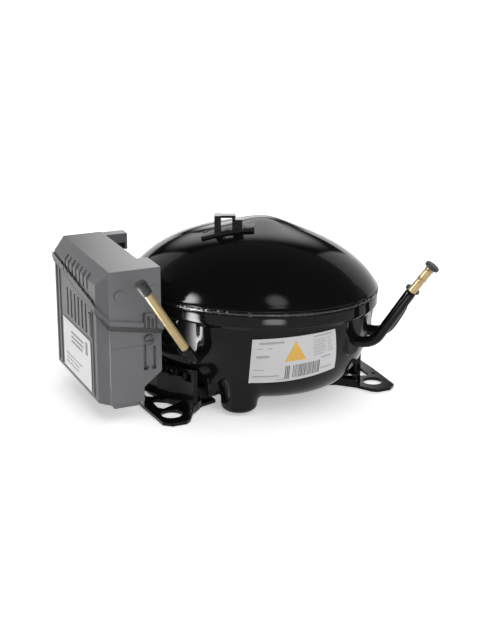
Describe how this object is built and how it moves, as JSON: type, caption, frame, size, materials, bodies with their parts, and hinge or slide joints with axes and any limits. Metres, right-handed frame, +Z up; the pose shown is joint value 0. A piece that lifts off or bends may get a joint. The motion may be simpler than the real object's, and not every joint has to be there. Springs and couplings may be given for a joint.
{
  "type": "hermetic reciprocating compressor",
  "caption": "Small hermetic refrigeration compressor: black oval welded shell on stamped foot plates, side drive box, service tubes, and a sprung piston pump and motor inside.",
  "frame": {"origin": "bottom centre of the bounding box, on the plane under the feet", "axes": "+Z up; +X from the drive box towards the discharge tube's side, along the 170 mm foot pattern; the process tube leans to -X and the service tubes stand at the -Y side"},
  "size_m": [0.2374, 0.2066, 0.1415],
  "materials": {
    "shell_paint": "gloss black oven-baked enamel",
    "weld_paint": "painted weld, rippled",
    "tube_copper": "drawn copper, pale and satin",
    "plug_rubber": "matt moulded rubber",
    "drive_plastic": "grey moulded plastic, faintly grained",
    "label_paper": "white printed film",
    "black_plastic": "black moulded plastic",
    "zinc_plate": "zinc-plated steel",
    "aluminium": "cast or extruded aluminium",
    "cast_iron": "machined grey iron",
    "ground_steel": "ground and hardened steel",
    "lamination": "stacked electrical steel",
    "enamel_wire": "enamelled copper wire",
    "board_green": "glass-fibre circuit board",
    "beige_resin": "moulded capacitor case",
    "blue_sleeve": "shrink sleeve",
    "pale_plastic": "unpigmented moulded plastic",
    "gasket_fibre": "compressed fibre sheet"
  },
  "bodies": {
    "shell": {"lower_shell": "shell_paint", "upper_shell": "shell_paint", "weld_bead": "weld_paint", "left_foot_plate": "shell_paint", "right_foot_plate": "shell_paint", "suction_connector": "shell_paint", "suction_tube": "tube_copper", "discharge_connector": "shell_paint", "discharge_tube": "tube_copper", "process_connector": "shell_paint", "process_tube": "tube_copper", "top_clip": "shell_paint", "nameplate": "label_paper", "hermetic_terminal": "zinc_plate", "terminal_fence": "shell_paint", "motor_plug": "black_plastic", "drive_housing": "drive_plastic", "drive_cover": "drive_plastic", "drive_label": "label_paper", "circuit_board": "board_green", "power_module": "black_plastic", "heat_sink": "aluminium", "bus_capacitor": "blue_sleeve", "filter_choke": "enamel_wire", "film_capacitor": "beige_resin", "terminal_block": "black_plastic", "lock_screw": "zinc_plate", "cable_clip": "black_plastic", "motor_lead_u": "pale_plastic", "motor_lead_v": "pale_plastic", "motor_lead_w": "pale_plastic", "suspension_spring_1": "ground_steel", "suspension_spring_2": "ground_steel", "suspension_spring_3": "ground_steel", "shock_tube": "tube_copper"},
    "crank": {"crankshaft": "ground_steel", "rotor": "aluminium", "oil_pickup": "black_plastic"},
    "bush": {"big_end_bush": "ground_steel"},
    "rod": {"connecting_rod": "ground_steel", "wrist_pin": "ground_steel", "piston": "ground_steel"},
    "suction_reed": {"suction_reed": "ground_steel"},
    "discharge_reed": {"discharge_reed": "ground_steel"},
    "process_plug": {"process_plug": "plug_rubber"},
    "suction_plug": {"suction_plug": "plug_rubber"},
    "discharge_plug": {"discharge_plug": "plug_rubber"},
    "pump": {"cylinder_block": "cast_iron", "valve_plate": "ground_steel", "head_gasket": "gasket_fibre", "cylinder_head": "cast_iron", "head_screw_1": "zinc_plate", "head_screw_2": "zinc_plate", "head_screw_3": "zinc_plate", "head_screw_4": "zinc_plate", "stator_core": "lamination", "stator_winding": "enamel_wire", "spring_bracket": "zinc_plate", "suction_muffler": "pale_plastic"}
  },
  "joints": [
    {"name": "pump_bounce", "type": "slide", "parent": "shell", "child": "pump", "axis": [0, 0, 1], "range_m": [-0.002, 0.002], "stiffness_N_per_m": 12000, "springref_m": 0.0021, "deforming": ["suspension_spring_1", "suspension_spring_2", "suspension_spring_3", "shock_tube"]},
    {"name": "crank_spin", "type": "hinge", "parent": "pump", "child": "crank", "pos_m": [0.00872, 0.02152, 0.05], "axis": [0, 0, 1], "continuous": true},
    {"name": "bush_turn", "type": "hinge", "parent": "crank", "child": "bush", "pos_m": [0.01154, 0.01869, 0.088], "axis": [0, 0, 1], "continuous": true},
    {"name": "rod_stroke", "type": "hinge", "parent": "bush", "child": "rod", "pos_m": [0.01437, 0.01586, 0.088], "axis": [0, 0, 1], "continuous": true},
    {"name": "suction_reed_flex", "type": "hinge", "parent": "pump", "child": "suction_reed", "pos_m": [0.04488, -0.02172, 0.079], "axis": [-0.7071, -0.7071, 0], "range_deg": [0, 2.5], "stiffness_Nm_per_rad": 0.01},
    {"name": "discharge_reed_flex", "type": "hinge", "parent": "pump", "child": "discharge_reed", "pos_m": [0.05545, -0.01617, 0.079], "axis": [0.7071, 0.7071, 0], "range_deg": [0, 4], "stiffness_Nm_per_rad": 0.01},
    {"name": "process_plug_pull", "type": "slide", "parent": "shell", "child": "process_plug", "axis": [-0.5399, -0.0942, 0.8365], "range_m": [0, 0.015]},
    {"name": "suction_plug_pull", "type": "slide", "parent": "shell", "child": "suction_plug", "axis": [0.4602, -0.354, 0.8142], "range_m": [0, 0.015]},
    {"name": "discharge_plug_pull", "type": "slide", "parent": "shell", "child": "discharge_plug", "axis": [0.3761, -0.3061, 0.8746], "range_m": [0, 0.015]}
  ],
  "couplings": [
    {"joint": "bush_turn", "follows": "crank_spin", "ratio": -2},
    {"joint": "rod_stroke", "follows": "crank_spin", "ratio": 1}
  ]
}
